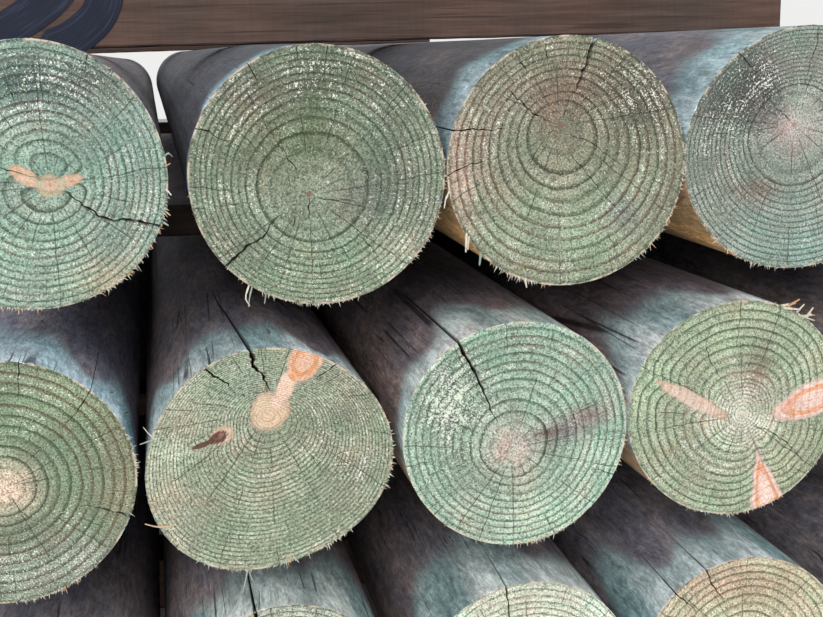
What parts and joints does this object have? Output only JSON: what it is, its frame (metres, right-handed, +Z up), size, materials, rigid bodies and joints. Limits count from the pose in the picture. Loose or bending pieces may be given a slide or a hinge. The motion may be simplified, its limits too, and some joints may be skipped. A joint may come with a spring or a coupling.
{
  "type": "stack of logs",
  "caption": "Stack of peeled treated round logs in rows on sawn bearers, with spacers between the rows and a loose webbing strap on top.",
  "frame": {"origin": "on the ground under the middle of the stack", "axes": "+Z up, the logs run along Y with their near ends facing -Y, the bearers run along X"},
  "size_m": [1.1607, 3.603, 0.8883],
  "materials": {
    "log": "matt, weathered, sawn ends",
    "timber": "matt, sawn, weathered",
    "strap": "woven webbing, scuffed"
  },
  "bodies": {
    "root": {"log_a1": "log", "log_a2": "log", "log_a3": "log", "log_a4": "log", "log_a5": "log", "log_b1": "log", "log_b2": "log", "log_b3": "log", "log_b4": "log", "log_b5": "log", "log_c1": "log", "log_c2": "log", "log_c3": "log", "log_c4": "log", "log_c5": "log", "ground_bearer_near": "timber", "ground_bearer_far": "timber", "lower_spacer_near": "timber", "lower_spacer_far": "timber", "upper_spacer_near": "timber", "upper_spacer_far": "timber", "top_bearer_near": "timber", "top_bearer_far": "timber", "strap": "strap"}
  },
  "joints": []
}
